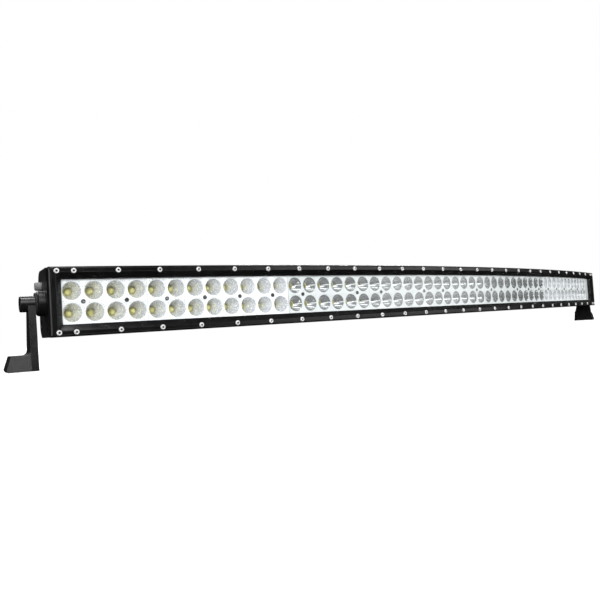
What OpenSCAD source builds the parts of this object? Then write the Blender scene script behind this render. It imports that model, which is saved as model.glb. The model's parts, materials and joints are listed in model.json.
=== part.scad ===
// Curved double-row LED light bar with swivelling end brackets.
// X runs along the bar, -Y is the way the light shines, Z is up.
// The origin lies on the mounting plane, halfway between the two foot bolts.

/* [Bar] */
// Number of LED columns, two LEDs in each
led_columns = 52; // [52]
// Distance between neighbouring LEDs
led_pitch = 25.4; // [25:0.1:25.6]
// Radius of the front face of the bowed bar
bow_r = 2991; // [2600:1:4000]
// Height of the bezel
bar_h = 80; // [78:1:84]
// Depth of the end caps, from the front of the bezel to the back
bar_d = 68; // [66:1:76]
// Height of the middle of the bar above the mounting plane
mid_z = 76; // [70:1:110]

/* [Bezel and lens] */
// Height of the clear window
window_h = 52; // [50:1:53]
// Depth at which the sloping window wall meets the lens
lens_d = 6.5; // [5:0.5:7]
// Thickness of the polycarbonate lens
lens_t = 3; // [2:0.5:3]
// Thickness of the bezel, front to back
bezel_t = 9.5; // [9:0.5:10]
// Distance of each bezel screw row from the middle of the bar
screw_z = 35; // [34.5:0.5:36]

/* [Optics] */
// Radius of a reflector cup at its mouth
cup_r = 11; // [9:0.5:11.3]
// Radius of the opening at the bottom of a wide flood cup
flood_throat_r = 5; // [4.6:0.1:6]
// Radius of the opening at the bottom of a narrow spot cup
spot_throat_r = 4.5; // [4.4:0.1:6]
// Radius of the body of an LED
led_r = 4.2; // [3:0.1:4.2]
// Radius of the dome over the LED chip
dome_r = 3.2; // [2:0.1:3.5]

/* [Brackets] */
// Depth of the pivot bolt behind the front of the bezel
pivot_d = 28; // [24:1:34]
// Radius of the round boss on the end cap
boss_r = 14.5; // [12:0.5:16]
// Thickness of the bracket leg
leg_t = 8; // [6:0.5:9]
// Width of the bracket foot, front to back
foot_w = 40; // [34:1:44]
// Height of the bracket foot
foot_h = 18; // [16:1:20]
// Radius of the bracket barrel round the bolt head
barrel_r = 9.3; // [8.9:0.1:10]
// Radius of the pivot bolt shank
bolt_r = 4; // [4:0.1:4.2]
// Radius of the bolt hole in each foot
foot_hole_r = 4.25; // [3.2:0.05:5.2]

/* [Hidden] */
$fn = 48;
SWEEP_FN = 1440;

// Module layout, left to right: how many columns each moulded reflector holds
FLOOD_COLUMNS = [4, 4, 4];
SPOT_COLUMNS = [6, 6, 6, 6, 4];

// Along the bowed face, distances are arc lengths from the middle of the bar
screw_pitch = 2 * led_pitch;
array_l = led_columns * led_pitch;
blank_l = 28;
array_start = -(array_l + blank_l) / 2;
bar_half = -array_start + 15.4;
cap_t = 14;
cap_gasket_t = 1;
housing_half = bar_half - cap_t - cap_gasket_t;
window_half = -array_start - 0.5;
corner_screw_s = bar_half - 10.6;
lens_half = corner_screw_s - 1.2;
screws_per_row = 27;
screw_l = 12;
screw_hole_end = 15;
screw_hole_r = 1.52;
screw_seat_d = 1.4;
seat_play = 0.3;
half_angle = bar_half / bow_r * 180 / PI;

// Depths behind the front of the bezel
gap = 0.05;
slope_run = 6.5;
gasket_d = lens_d + gap + lens_t + gap;
ledge_d = gasket_d + 1.6;
reflector_d = ledge_d + 0.5;
cup_depth = 22.8;
board_d = reflector_d + cup_depth + 0.1;
board_t = 1.6;
pad_t = 0.75;
floor_d = board_d + board_t + gap + pad_t + 0.1;
floor_t = 4.7;
duct_d = floor_d + floor_t;
duct_depth = 13.7;
duct_wall = 2.5;
duct_back_d = duct_d + duct_depth + duct_wall;
fin_tip_d = bar_d - 2;
driver_d = duct_d + 9.2;
gland_nose_d = duct_back_d + 20;

// Driver boards, wire entry and supply cable
driver_l = 180;
driver_z = 20;
gland_s = 500;
grommet_s = -array_start - blank_l / 2;
cable_r = 3.6;
cable_bend_r = 22;
cable_run = 150;
gland_r = 8.1;
gland_hex_r = 10.6;
gland_bend_d = gland_nose_d + 6;
plug_pin_z = 2.6;
wire_r = 1;

// Breather valve, on the left cap above the pivot
breather_d = 46;
breather_z = 21;

// Heights from the middle of the bar
tray_z = 28;
lens_z = window_h / 2 + 4.8;
housing_z = bar_h / 2 - 1;
cap_z = housing_z + 0.6;
reflector_z = 27.2;
row_z = led_pitch / 2;

// Pivot and bracket, measured outwards from the end cap's face
boss_l = 8.5;
rubber_t = 2;
leg_x = boss_l + rubber_t + gap;
web_t = 3;
barrel_end = leg_x + 16;
washer_t = 1.2;
spring_t = 1.7;
bolt_head_l = 8;
foot_end = leg_x + 33.5;
foot_hole_x = leg_x + 20;
foot_front_d = pivot_d - 14;
foot_mid_d = foot_front_d + foot_w / 2;
foot_toe = 1.2;
foot_front_slope = 0.18;
foot_rear_draft = 2.4;

// The mounting-plane origin is halfway between the foot bolts
apex_y = -(bow_r * (1 - cos(half_angle)) + foot_hole_x * sin(half_angle)
    + foot_mid_d * cos(half_angle));

// ---------- frames and sweeps ----------

function arc_deg(s) = s / bow_r * 180 / PI;

function arc_points(cx, cy, r, a0, a1, n = 8) =
    [for (i = [0 : n]) let (a = a0 + (a1 - a0) * i / n) [cx + r * cos(a), cy + r * sin(a)]];

// Local frame on the bow at arc length s: x along the bar, y into it, z from its middle
module on_bow(s) {
    translate([bow_r * sin(arc_deg(s)), apex_y + bow_r * (1 - cos(arc_deg(s))), mid_z])
        rotate([0, 0, arc_deg(s)])
            children();
}

// Local frame on an end: x outwards from the cap's face, y into the bar, z from its middle
module on_end(side) {
    mirror([side < 0 ? 1 : 0, 0, 0])
        on_bow(bar_half)
            children();
}

// Sweeps a profile drawn as [depth, height] along the bow from arc length s0 to s1
module sweep(s0, s1) {
    translate([0, apex_y + bow_r, mid_z])
        rotate([0, 0, arc_deg(s0) - 90])
            rotate_extrude(angle = arc_deg(s1 - s0), $fn = SWEEP_FN)
                translate([bow_r, 0])
                    mirror([1, 0])
                        children();
}

// A profile rectangle between two depths, from -half_h to half_h
module band(d0, d1, half_h) {
    translate([d0, -half_h])
        square([d1 - d0, 2 * half_h]);
}

// A cylinder along y, from depth d0 to depth d1
module bore(d0, d1, r, r_end = undef) {
    translate([0, d0, 0])
        rotate([-90, 0, 0])
            cylinder(r1 = r, r2 = is_undef(r_end) ? r : r_end, h = d1 - d0);
}

// A cylinder along x, from x0 to x1, at a depth of at_d
module rod_x(x0, x1, r, r_end = undef, at_d = 0) {
    translate([x0, at_d, 0])
        rotate([0, 90, 0])
            cylinder(r1 = r, r2 = is_undef(r_end) ? r : r_end, h = x1 - x0);
}

// A quarter bend of a round wire about a vertical axis, starting at angle a0
module wire_bend(x, y, bend_r, r, a0) {
    translate([x, y, 0])
        rotate([0, 0, a0])
            rotate_extrude(angle = 90)
                translate([bend_r, 0])
                    circle(r = r);
}

// ---------- bezel, lens and their screws ----------

function corner_screws() = [-corner_screw_s, corner_screw_s];

function row_screws() =
    [for (i = [0 : screws_per_row - 1]) (i - (screws_per_row - 1) / 2) * screw_pitch];

module bezel_section() {
    edge_r = 1.8;
    h = bar_h / 2;
    track_d = 0.5;
    difference() {
        polygon(concat(
            [[bezel_t - gap, -h]],
            arc_points(edge_r, -h + edge_r, edge_r, 270, 180),
            arc_points(edge_r, h - edge_r, edge_r, 180, 90),
            [[bezel_t - gap, h]]
        ));
        for (m = [0, 1])
            mirror([0, m])
                translate([-1, screw_z - 1.3])
                    square([1 + track_d, 4]);
    }
}

module window_cutter() {
    wall = window_h / 2;
    overrun = 2;
    slope = slope_run / lens_d;
    difference() {
        sweep(-window_half - slope_run - overrun, window_half + slope_run + overrun)
            polygon([
                [-overrun, -wall - slope_run - overrun * slope],
                [lens_d + 0.01, -wall],
                [lens_d + 0.01, wall],
                [-overrun, wall + slope_run + overrun * slope]
            ]);
        for (m = [0, 1])
            mirror([m, 0, 0])
                on_bow(window_half)
                    translate([0, lens_d, 0])
                        rotate([0, 0, -atan(slope)])
                            translate([0, -40, -bar_h])
                                cube([60, 80, 2 * bar_h]);
    }
}

// Rounds the bezel's upright front edge in four flats, and takes its two corners off
module end_rounding() {
    big = 20;
    corner = 2.2;
    translate([0, 0, -bar_h])
        linear_extrude(height = 2 * bar_h)
            polygon(concat(
                [[-7.5, -0.67]],
                arc_points(-5, 5, 5, 270, 360, 3),
                [[0.67, 7.5], [big, 7.5], [big, -big], [-7.5, -big]]
            ));
    for (m = [0, 1])
        mirror([0, 0, m])
            translate([-corner, -1, bar_h / 2])
                rotate([0, 45, 0])
                    translate([-big, 0, 0])
                        cube([2 * big, big, big]);
}

module bezel() {
    head_recess_r = 3.7;
    clearance_r = 1.7;
    color([0.06, 0.06, 0.065])
        difference() {
            sweep(-bar_half, bar_half)
                bezel_section();
            window_cutter();
            lens_seat(lens_d);
            for (s = concat(row_screws(), corner_screws()), m = [-1, 1])
                on_bow(s)
                    translate([0, 0, m * screw_z]) {
                        bore(-1, screw_seat_d, head_recess_r);
                        bore(0, bezel_t + 1, clearance_r);
                    }
            for (side = [-1, 1])
                on_end(side)
                    end_rounding();
        }
}

// A button-head socket screw along y, its head seat at depth 0
module socket_screw(head_r, head_l, shank_r, shank_l, socket_r) {
    difference() {
        union() {
            bore(-head_l, 0, head_r * 0.72, head_r);
            bore(-0.01, shank_l, shank_r);
        }
        translate([0, -head_l - 1, 0])
            rotate([-90, 0, 0])
                cylinder(r = socket_r, h = head_l * 0.65 + 1, $fn = 6);
    }
}

module bezel_screws() {
    color([0.78, 0.78, 0.76])
        for (s = concat(row_screws(), corner_screws()), m = [-1, 1])
            on_bow(s)
                translate([0, screw_seat_d - 0.01, m * screw_z])
                    socket_screw(head_r = 3.1, head_l = 2, shank_r = 1.5, shank_l = screw_l, socket_r = 1.15);
}

module lens() {
    color([0.85, 0.9, 0.92, 0.35])
        sweep(-lens_half, lens_half)
            band(lens_d + gap, lens_d + gap + lens_t, lens_z);
}

// Its inner edge stands a little way into the window
module lens_gasket() {
    setback = 1.6;
    color([0.12, 0.12, 0.12])
        difference() {
            sweep(-lens_half, lens_half)
                band(gasket_d, ledge_d - gap, lens_z);
            sweep(-window_half - setback, window_half + setback)
                band(gasket_d - 1, ledge_d + 1, window_h / 2 + setback);
        }
}

// ---------- extruded housing and end caps ----------

// Outline of the end as [depth, height], with rounded back corners
module end_outline(inset = 0, front_d = bezel_t) {
    back_r = 15 - inset;
    h = cap_z - inset;
    d1 = bar_d - inset;
    polygon(concat(
        [[front_d, h], [front_d, -h]],
        arc_points(d1 - back_r, -h + back_r, back_r, 270, 360, 10),
        arc_points(d1 - back_r, h - back_r, back_r, 0, 90, 10)
    ));
}

// Space that the lens and its gasket sit in, with a little play round them
module lens_seat(front_d) {
    sweep(-lens_half - seat_play, lens_half + seat_play)
        band(front_d, ledge_d, lens_z + seat_play);
}

// Everything outwards of a plane across the end, at x0 in the end frame
module beyond_end(x0) {
    for (side = [-1, 1])
        on_end(side)
            translate([x0, -1, -bar_h])
                cube([cap_t, bar_d + 2, 2 * bar_h]);
}

module housing_section() {
    duct_z = 14;
    lip_d = 24;
    skin_t = 3.4;
    side_groove_w = 3.6;
    side_groove_depth = 6.5;
    rib_pitch = 6.6;
    rib_w = 2.4;
    difference() {
        intersection() {
            band(bezel_t, fin_tip_d, housing_z);
            end_outline(cap_z - housing_z);
        }
        band(bezel_t - 1, floor_d, tray_z);
        band(duct_d, duct_d + duct_depth, duct_z - duct_wall);
        band(duct_back_d, fin_tip_d + 1, duct_z);
        for (m = [0, 1])
            mirror([0, m]) {
                for (i = [0 : 3])
                    translate([duct_d, duct_z + i * (rib_pitch - 0.1)])
                        square([fin_tip_d, rib_pitch - rib_w]);
                for (i = [0 : 2])
                    translate([lip_d + i * rib_pitch, housing_z - side_groove_depth])
                        square([side_groove_w, side_groove_depth + 1]);
            }
    }
}

module housing() {
    color([0.07, 0.07, 0.075])
        difference() {
            sweep(-housing_half, housing_half)
                housing_section();
            beyond_end(-cap_t - cap_gasket_t);
            lens_seat(bezel_t - 1);
            for (s = row_screws(), m = [-1, 1])
                on_bow(s)
                    translate([0, 0, m * screw_z])
                        bore(bezel_t - 1, screw_hole_end, screw_hole_r);
            reflector_screw_places()
                bore(floor_d - 1, floor_d + 3, screw_hole_r);
            on_bow(grommet_s)
                bore(floor_d - 1, duct_d + 1, 5);
            on_bow(gland_s)
                bore(duct_back_d - duct_wall - 1, duct_back_d + 1, gland_r);
        }
}

// Extrudes an end outline from x0 to x1 in an end frame
module end_plate(x0, x1) {
    translate([x0, 0, 0])
        rotate([90, 0, 90])
            linear_extrude(height = x1 - x0)
                children();
}

// Each as [depth, height]
function cap_screw_places() = [[18, 33], [18, -33], [57, 22], [57, -22]];

module end_cap(side) {
    pocket_depth = 6;
    color([0.05, 0.05, 0.055])
        difference() {
            on_end(side) {
                difference() {
                    union() {
                        end_plate(-cap_t, 0)
                            end_outline();
                        translate([0, pivot_d, 0]) {
                            rod_x(-1, boss_l - 1.2, boss_r);
                            rod_x(boss_l - 1.2, boss_l, boss_r, boss_r - 1.2);
                        }
                    }
                    difference() {
                        translate([-cap_t - 1, 24, -20])
                            cube([pocket_depth + 1, 24, 40]);
                        translate([0, pivot_d, 0])
                            rod_x(-cap_t - 2, 0, boss_r - 4);
                    }
                    translate([0, pivot_d, 0])
                        rod_x(-11, boss_l + 1, bolt_r + 0.03);
                    for (p = cap_screw_places())
                        translate([0, p[0], p[1]]) {
                            rod_x(-cap_t - 1, 1, 2.1);
                            rod_x(-2.4, 1, 3.9);
                        }
                    for (m = [-1, 1])
                        translate([corner_screw_s - bar_half, 0, m * screw_z])
                            bore(bezel_t - 1, screw_hole_end, screw_hole_r + 0.1);
                    if (side < 0)
                        translate([0, breather_d, breather_z])
                            rod_x(-cap_t - 1, 1, 3.1);
                }
            }
            lens_seat(bezel_t - 1);
        }
}

module end_cap_left() { end_cap(-1); }
module end_cap_right() { end_cap(1); }

module end_cap_gasket(side) {
    color([0.1, 0.1, 0.1])
        difference() {
            on_end(side)
                translate([0.5 * gap - cap_t - cap_gasket_t, 0, 0])
                    difference() {
                        end_plate(0, cap_gasket_t - gap)
                            end_outline(1.2, bezel_t + 1.2);
                        translate([-1, 27, -24])
                            cube([3, 26, 48]);
                        for (p = cap_screw_places())
                            translate([0, p[0], p[1]])
                                rod_x(-1, 3, 2.3);
                    }
            lens_seat(bezel_t - 1);
            sweep(-bar_half, bar_half)
                band(bezel_t - 1, floor_d, tray_z);
        }
}

module end_cap_gasket_left() { end_cap_gasket(-1); }
module end_cap_gasket_right() { end_cap_gasket(1); }

module end_cap_screws() {
    color([0.16, 0.16, 0.17])
        for (side = [-1, 1], p = cap_screw_places())
            on_end(side)
                translate([-2.39, p[0], p[1]])
                    rotate([0, 0, 90])
                        socket_screw(
                            head_r = 3.6, head_l = 2.1, shank_r = 1.95, shank_l = 10.4, socket_r = 1.3);
}

module breather_valve() {
    color([0.42, 0.42, 0.42])
        on_end(-1)
            translate([0, breather_d, breather_z])
                difference() {
                    union() {
                        rod_x(0.02, 6.2, 5);
                        rod_x(6.19, 7.2, 5, 4.2);
                        rod_x(-7, 0.03, 3);
                    }
                    rod_x(6.2, 8, 2.6);
                    rod_x(-8, 4.6, 1.2);
                }
}

// ---------- optics and LED boards ----------

function running(list, n) = n == 0 ? 0 : list[n - 1] + running(list, n - 1);

function left_start() = array_start;
function spot_start() = array_start + running(FLOOD_COLUMNS, 3) * led_pitch;
function right_start() = spot_start() + running(SPOT_COLUMNS, 5) * led_pitch;

// Places children in the frame of each straight module, given its list of column counts
module each_module(start, counts) {
    for (i = [0 : len(counts) - 1]) {
        $columns = counts[i];
        on_bow(start + (running(counts, i) + counts[i] / 2) * led_pitch)
            children();
    }
}

module every_module() {
    each_module(left_start(), FLOOD_COLUMNS)
        children();
    each_module(spot_start(), SPOT_COLUMNS)
        children();
    each_module(right_start(), FLOOD_COLUMNS)
        children();
}

// Room for a straight module between its neighbours, which close up behind the bowed face
function module_length(columns, depth) = columns * led_pitch * (1 - depth / bow_r);

// Column centres of a module, from its own middle
function column_x(columns) = [for (i = [0 : columns - 1]) (i - (columns - 1) / 2) * led_pitch];

// A module's two fixing screws sit in the gaps beside its outer columns
function fixing_x(columns) = [(1 - columns / 2) * led_pitch, (columns / 2 - 1) * led_pitch];

module reflector_screw_places() {
    every_module()
        for (x = fixing_x($columns))
            translate([x, 0, 0])
                children();
}

// Radius of a cup at a fraction t of the way from its bottom to its mouth
function cup_radius(t, throat, parabola) =
    parabola ? sqrt(throat * throat + (cup_r * cup_r - throat * throat) * t)
             : throat + (cup_r - throat) * t;

// A thin cup on the y axis, its mouth at depth reflector_d
module cup_shell(throat, parabola) {
    wall = 1.1;
    steps = parabola ? 8 : 1;
    translate([0, reflector_d + cup_depth, 0])
        rotate([90, 0, 0])
            rotate_extrude()
                polygon(concat(
                    [for (i = [0 : steps])
                        [cup_radius(i / steps, throat, parabola), cup_depth * i / steps]],
                    [for (i = [steps : -1 : 0])
                        [cup_radius(i / steps, throat, parabola) + wall, cup_depth * i / steps]]
                ));
}

module reflector_module(columns, throat, parabola) {
    plate_t = 1.5;
    l = module_length(columns, reflector_d + plate_t) - 0.3;
    difference() {
        union() {
            difference() {
                translate([-l / 2, reflector_d, -reflector_z])
                    cube([l, plate_t, 2 * reflector_z]);
                for (x = column_x(columns), m = [-1, 1])
                    translate([x, 0, m * row_z])
                        bore(reflector_d - 1, reflector_d + plate_t + 1, cup_r + 0.5);
            }
            for (x = column_x(columns), m = [-1, 1])
                translate([x, 0, m * row_z])
                    cup_shell(throat, parabola);
            for (x = fixing_x(columns))
                translate([x, 0, 0])
                    bore(reflector_d + 0.5, reflector_d + cup_depth, 3.2);
        }
        for (x = fixing_x(columns))
            translate([x, 0, 0]) {
                bore(reflector_d - 1, reflector_d + cup_depth + 1, 1.65);
                bore(reflector_d - 1, reflector_d + 1, 2.8);
            }
    }
}

module flood_reflectors_left() {
    color([0.86, 0.87, 0.88])
        each_module(left_start(), FLOOD_COLUMNS)
            reflector_module($columns, flood_throat_r, false);
}

module flood_reflectors_right() {
    color([0.86, 0.87, 0.88])
        each_module(right_start(), FLOOD_COLUMNS)
            reflector_module($columns, flood_throat_r, false);
}

module spot_reflectors() {
    color([0.86, 0.87, 0.88])
        each_module(spot_start(), SPOT_COLUMNS)
            reflector_module($columns, spot_throat_r, true);
}

// Closes the space beside the last reflector, over the wire entry
module blanking_strip() {
    l = blank_l - 0.6;
    color([0.66, 0.68, 0.68])
        on_bow(grommet_s) {
            translate([-l / 2, reflector_d, -reflector_z])
                cube([l, 1.5, 2 * reflector_z]);
            for (m = [0, 1])
                mirror([0, 0, m])
                    translate([-l / 2, reflector_d + 1.4, reflector_z - 1.4])
                        cube([l, cup_depth, 1.4]);
        }
}

module reflector_screws() {
    color([0.2, 0.2, 0.21])
        reflector_screw_places()
            difference() {
                union() {
                    bore(reflector_d - 0.8, reflector_d + 0.98, 2.6);
                    bore(reflector_d + 0.97, floor_d + 2.6, 1.45);
                }
                for (a = [0, 90])
                    translate([0, reflector_d - 1, 0])
                        rotate([0, a, 0])
                            translate([-1.5, 0, -0.3])
                                cube([3, 1.4, 0.6]);
            }
}

module led_boards() {
    color([0.9, 0.9, 0.88])
        every_module()
            difference() {
                l = module_length($columns, board_d + board_t) - 0.4;
                translate([-l / 2, board_d, -tray_z + 1])
                    cube([l, board_t, 2 * tray_z - 2]);
                for (x = fixing_x($columns))
                    translate([x, 0, 0])
                        bore(board_d - 1, board_d + board_t + 1, 1.65);
            }
}

module led_places() {
    every_module()
        for (x = column_x($columns), m = [-1, 1])
            translate([x, board_d - gap, m * row_z])
                rotate([90, 0, 0])
                    children();
}

module led_bodies() {
    color([0.93, 0.92, 0.86])
        led_places()
            cylinder(r = led_r, h = 1);
}

module led_domes() {
    color([0.85, 0.78, 0.32])
        led_places()
            translate([0, 0, 1.02])
                rotate_extrude()
                    intersection() {
                        circle(r = dome_r);
                        square(dome_r);
                    }
}

module thermal_pads() {
    color([0.55, 0.6, 0.68])
        every_module()
            difference() {
                l = $columns * led_pitch - 2;
                translate([-l / 2, board_d + board_t + gap, -tray_z + 4])
                    cube([l, pad_t, 2 * tray_z - 8]);
                for (x = fixing_x($columns))
                    translate([x, 0, 0])
                        bore(board_d, floor_d + 1, 2.2);
            }
}

// ---------- wiring and driver ----------

// How far a straight board's ends stand forward of the bow through its middle
function board_rise(columns) = pow(columns * led_pitch / 2, 2) / (2 * (bow_r - board_d));

// A flat link across each seam between two boards, resting on the more forward of the two
module board_jumpers() {
    counts = concat(FLOOD_COLUMNS, SPOT_COLUMNS, FLOOD_COLUMNS);
    link_l = 8;
    link_w = 1.4;
    link_t = 0.8;
    clearance = 0.15;
    color([0.75, 0.12, 0.1])
        for (i = [1 : len(counts) - 1], z = [-25, 25]) {
            rise = board_rise(max(counts[i - 1], counts[i])) + clearance;
            on_bow(array_start + running(counts, i) * led_pitch)
                translate([-link_l / 2, board_d - rise - link_t, z - link_w / 2])
                    cube([link_l, link_t, link_w]);
        }
}

// From the last board's edge, through the grommet, and along the duct
module feed_wire(z) {
    bend_r = 3;
    lap = 4;
    tail_l = 34;
    clearance = 0.6;
    tray_d = board_d - wire_r - clearance;
    in_duct_d = duct_d + 6;
    on_bow(grommet_s)
        translate([0, 0, z]) {
            rod_x(-blank_l / 2 - lap, -bend_r, wire_r, at_d = tray_d);
            wire_bend(-bend_r, tray_d + bend_r, bend_r, wire_r, -90);
            bore(tray_d + bend_r, in_duct_d - bend_r, wire_r);
            wire_bend(-bend_r, in_duct_d - bend_r, bend_r, wire_r, 0);
            rod_x(-tail_l, -bend_r, wire_r, at_d = in_duct_d);
        }
}

module feed_wire_red() { color([0.72, 0.08, 0.06]) feed_wire(1.6); }
module feed_wire_black() { color([0.04, 0.04, 0.04]) feed_wire(-1.6); }

module wire_grommet() {
    lip = 1.2;
    color([0.05, 0.05, 0.05])
        on_bow(grommet_s)
            difference() {
                union() {
                    bore(floor_d - lip, floor_d - 0.02, 6.8);
                    bore(floor_d - 0.03, duct_d - 0.02, 4.9);
                }
                bore(floor_d - 4, duct_d + 4, 3.4);
            }
}

module driver_places() {
    for (s = [-330, 330])
        on_bow(s)
            children();
}

module driver_boards() {
    color([0.1, 0.3, 0.16])
        driver_places()
            translate([-driver_l / 2, driver_d, -driver_z / 2])
                cube([driver_l, 1.6, driver_z]);
}

module driver_inductors() {
    color([0.35, 0.34, 0.33])
        driver_places()
            for (x = [-60, -20, 20, 60])
                translate([x, driver_d - 5.5, 0])
                    difference() {
                        bore(0, 5.45, 6);
                        bore(-1, 1.2, 3);
                    }
}

module driver_capacitors() {
    color([0.2, 0.2, 0.35])
        driver_places()
            for (x = [-80, -40, 40, 80])
                translate([x, 0, 3])
                    bore(driver_d - 6.4, driver_d - gap, 3.15);
}

module driver_chips() {
    color([0.05, 0.05, 0.05])
        driver_places()
            for (x = [-74, -33, 7, 47])
                translate([x, driver_d - 1.6, -8])
                    cube([5, 1.55, 6]);
}

module driver_pads() {
    color([0.6, 0.62, 0.66])
        driver_places()
            translate([-driver_l / 2 + 5, driver_d + 1.65, -8])
                cube([driver_l - 10, 2.7, 16]);
}

// ---------- supply cable ----------

module cable_gland() {
    color([0.06, 0.06, 0.06])
        on_bow(gland_s)
            difference() {
                union() {
                    bore(duct_back_d - duct_wall - 5, duct_back_d + 1.1, gland_r - 0.15);
                    translate([0, duct_back_d + 1.02, 0])
                        rotate([-90, 0, 0])
                            cylinder(r = gland_hex_r, h = 5, $fn = 6);
                    bore(duct_back_d + 6, duct_back_d + 16, 8.6);
                    bore(duct_back_d + 15.9, gland_nose_d, 8.6, 6.4);
                }
                bore(duct_d, gland_nose_d + 1, cable_r + 0.05);
            }
}

module gland_nut() {
    color([0.06, 0.06, 0.06])
        on_bow(gland_s)
            difference() {
                translate([0, duct_back_d - duct_wall - 3.6, 0])
                    rotate([-90, 0, 0])
                        cylinder(r = gland_hex_r, h = 3.5, $fn = 6);
                bore(duct_d, duct_back_d, gland_r - 0.1);
            }
}

module gland_seal() {
    color([0.09, 0.09, 0.09])
        on_bow(gland_s)
            difference() {
                bore(duct_back_d + 0.02, duct_back_d + 1, gland_hex_r - 0.6);
                bore(duct_back_d - 1, duct_back_d + 2, gland_r);
            }
}

module supply_cable() {
    start_d = duct_back_d - duct_wall - 7;
    color([0.04, 0.04, 0.04])
        on_bow(gland_s) {
            bore(start_d, gland_bend_d, cable_r);
            wire_bend(-cable_bend_r, gland_bend_d, cable_bend_r, cable_r, 0);
            rod_x(-cable_bend_r - cable_run, -cable_bend_r, cable_r, at_d = gland_bend_d + cable_bend_r);
        }
}

module at_plug() {
    on_bow(gland_s)
        translate([-cable_bend_r - cable_run, gland_bend_d + cable_bend_r, 0])
            mirror([1, 0, 0])
                children();
}

module power_plug() {
    color([0.08, 0.08, 0.08])
        at_plug()
            difference() {
                union() {
                    rod_x(-8, 4, 5.4, 7.6);
                    rod_x(3.9, 26, 8);
                    rod_x(9, 17, 9.6);
                    rod_x(26, 38, 7);
                }
                rod_x(-9, 0.05, cable_r + 0.05);
                rod_x(30, 40, 5.6);
                for (z = [-plug_pin_z, plug_pin_z])
                    translate([0, 0, z])
                        rod_x(24, 31, 0.85);
            }
}

module plug_pins() {
    color([0.8, 0.66, 0.3])
        at_plug()
            for (z = [-plug_pin_z, plug_pin_z])
                translate([0, 0, z])
                    rod_x(24.05, 37, 0.8);
}

// ---------- brackets and pivots ----------

// Leg outline as [depth, height above the middle of the bar]
module leg_outline() {
    front_slope = 0.075;
    top_z = -2;
    foot_rear_d = foot_front_d + foot_w;
    translate([pivot_d, 0])
        circle(r = barrel_r);
    polygon([
        [pivot_d - barrel_r + 0.2, top_z],
        [foot_front_d, -mid_z + foot_h],
        [foot_front_d - front_slope * foot_h, -mid_z],
        [foot_rear_d, -mid_z],
        [foot_rear_d - 2.6, -mid_z + foot_h],
        [pivot_d + barrel_r - 0.2, top_z]
    ]);
}

// Foot seen from the front, as [distance out, height above the mounting plane]
module foot_profile() {
    nose = 5;
    fillet_r = 5;
    x0 = leg_x;
    x1 = leg_x + leg_t;
    polygon(concat(
        [
            [x0, 0],
            [foot_end - 1.5, 0],
            [foot_end, 2.5],
            [foot_end - nose, foot_h]
        ],
        arc_points(x1 + fillet_r, foot_h + fillet_r, fillet_r, 270, 180, 6),
        [[x0, foot_h + fillet_r]]
    ));
}

// Foot seen from the end, as [depth, height], with drafted front and back walls
module foot_end_view() {
    h = foot_h + 6;
    polygon([
        [foot_front_d - foot_toe, 0],
        [foot_front_d + foot_w, 0],
        [foot_front_d + foot_w - foot_rear_draft, h],
        [foot_front_d - foot_toe + h * foot_front_slope, h]
    ]);
}

module foot() {
    panel_inset = 3;
    panel_d = 0.9;
    panel_x0 = leg_x + leg_t + 3;
    panel_l = foot_end - panel_x0 - 7;
    difference() {
        intersection() {
            translate([0, foot_front_d + foot_w + 5, 0])
                rotate([90, 0, 0])
                    linear_extrude(height = foot_w + 10)
                        foot_profile();
            end_plate(leg_x - 1, foot_end + 1)
                foot_end_view();
        }
        translate([panel_x0, foot_front_d - foot_toe + panel_d, 0])
            rotate([-atan(foot_front_slope), 0, 0])
                translate([0, -5, panel_inset])
                    cube([panel_l, 5, foot_h - 2 * panel_inset]);
        translate([panel_x0, foot_front_d + foot_w - 0.6 - panel_d, panel_inset])
            cube([panel_l, 5, foot_h - 2 * panel_inset]);
        translate([foot_hole_x, foot_mid_d, 0]) {
            translate([0, 0, -1])
                cylinder(r = foot_hole_r, h = foot_h + 2);
            translate([0, 0, foot_h - 7])
                cylinder(r = 8, h = 20);
        }
    }
}

module bracket(side) {
    edge_t = 1;
    color([0.055, 0.055, 0.06])
        on_end(side)
            difference() {
                union() {
                    end_plate(leg_x, leg_x + leg_t)
                        leg_outline();
                    translate([0, pivot_d, 0]) {
                        rod_x(leg_x, barrel_end - edge_t, barrel_r);
                        rod_x(barrel_end - edge_t, barrel_end, barrel_r, barrel_r - edge_t * 0.6);
                    }
                    translate([0, 0, -mid_z])
                        foot();
                }
                translate([0, pivot_d, 0]) {
                    rod_x(leg_x - 1, leg_x + web_t + 1, bolt_r + 0.08);
                    rod_x(leg_x + web_t, barrel_end + 1, barrel_r - 1.6);
                }
            }
}

module bracket_left() { bracket(-1); }
module bracket_right() { bracket(1); }

module on_pivots() {
    for (side = [-1, 1])
        on_end(side)
            translate([0, pivot_d, 0])
                children();
}

module ring_x(x0, x1, r, hole_r) {
    difference() {
        rod_x(x0, x1, r);
        rod_x(x0 - 1, x1 + 1, hole_r);
    }
}

module rubber_washers() {
    color([0.03, 0.03, 0.03])
        on_pivots()
            ring_x(boss_l + 0.01, boss_l + rubber_t, boss_r - 2, bolt_r + 0.1);
}

module flat_washers() {
    color([0.7, 0.7, 0.7])
        on_pivots()
            ring_x(leg_x + web_t + gap, leg_x + web_t + washer_t, barrel_r - 1.9, bolt_r + 0.1);
}

// Split spring washer
module spring_washers() {
    x0 = leg_x + web_t + washer_t + 0.02;
    color([0.6, 0.6, 0.6])
        on_pivots()
            difference() {
                ring_x(x0, x0 + spring_t, barrel_r - 2.4, bolt_r + 0.1);
                translate([x0 - 1, 0, -0.5])
                    rotate([20, 0, 0])
                        cube([spring_t + 2, 12, 1]);
            }
}

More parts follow.
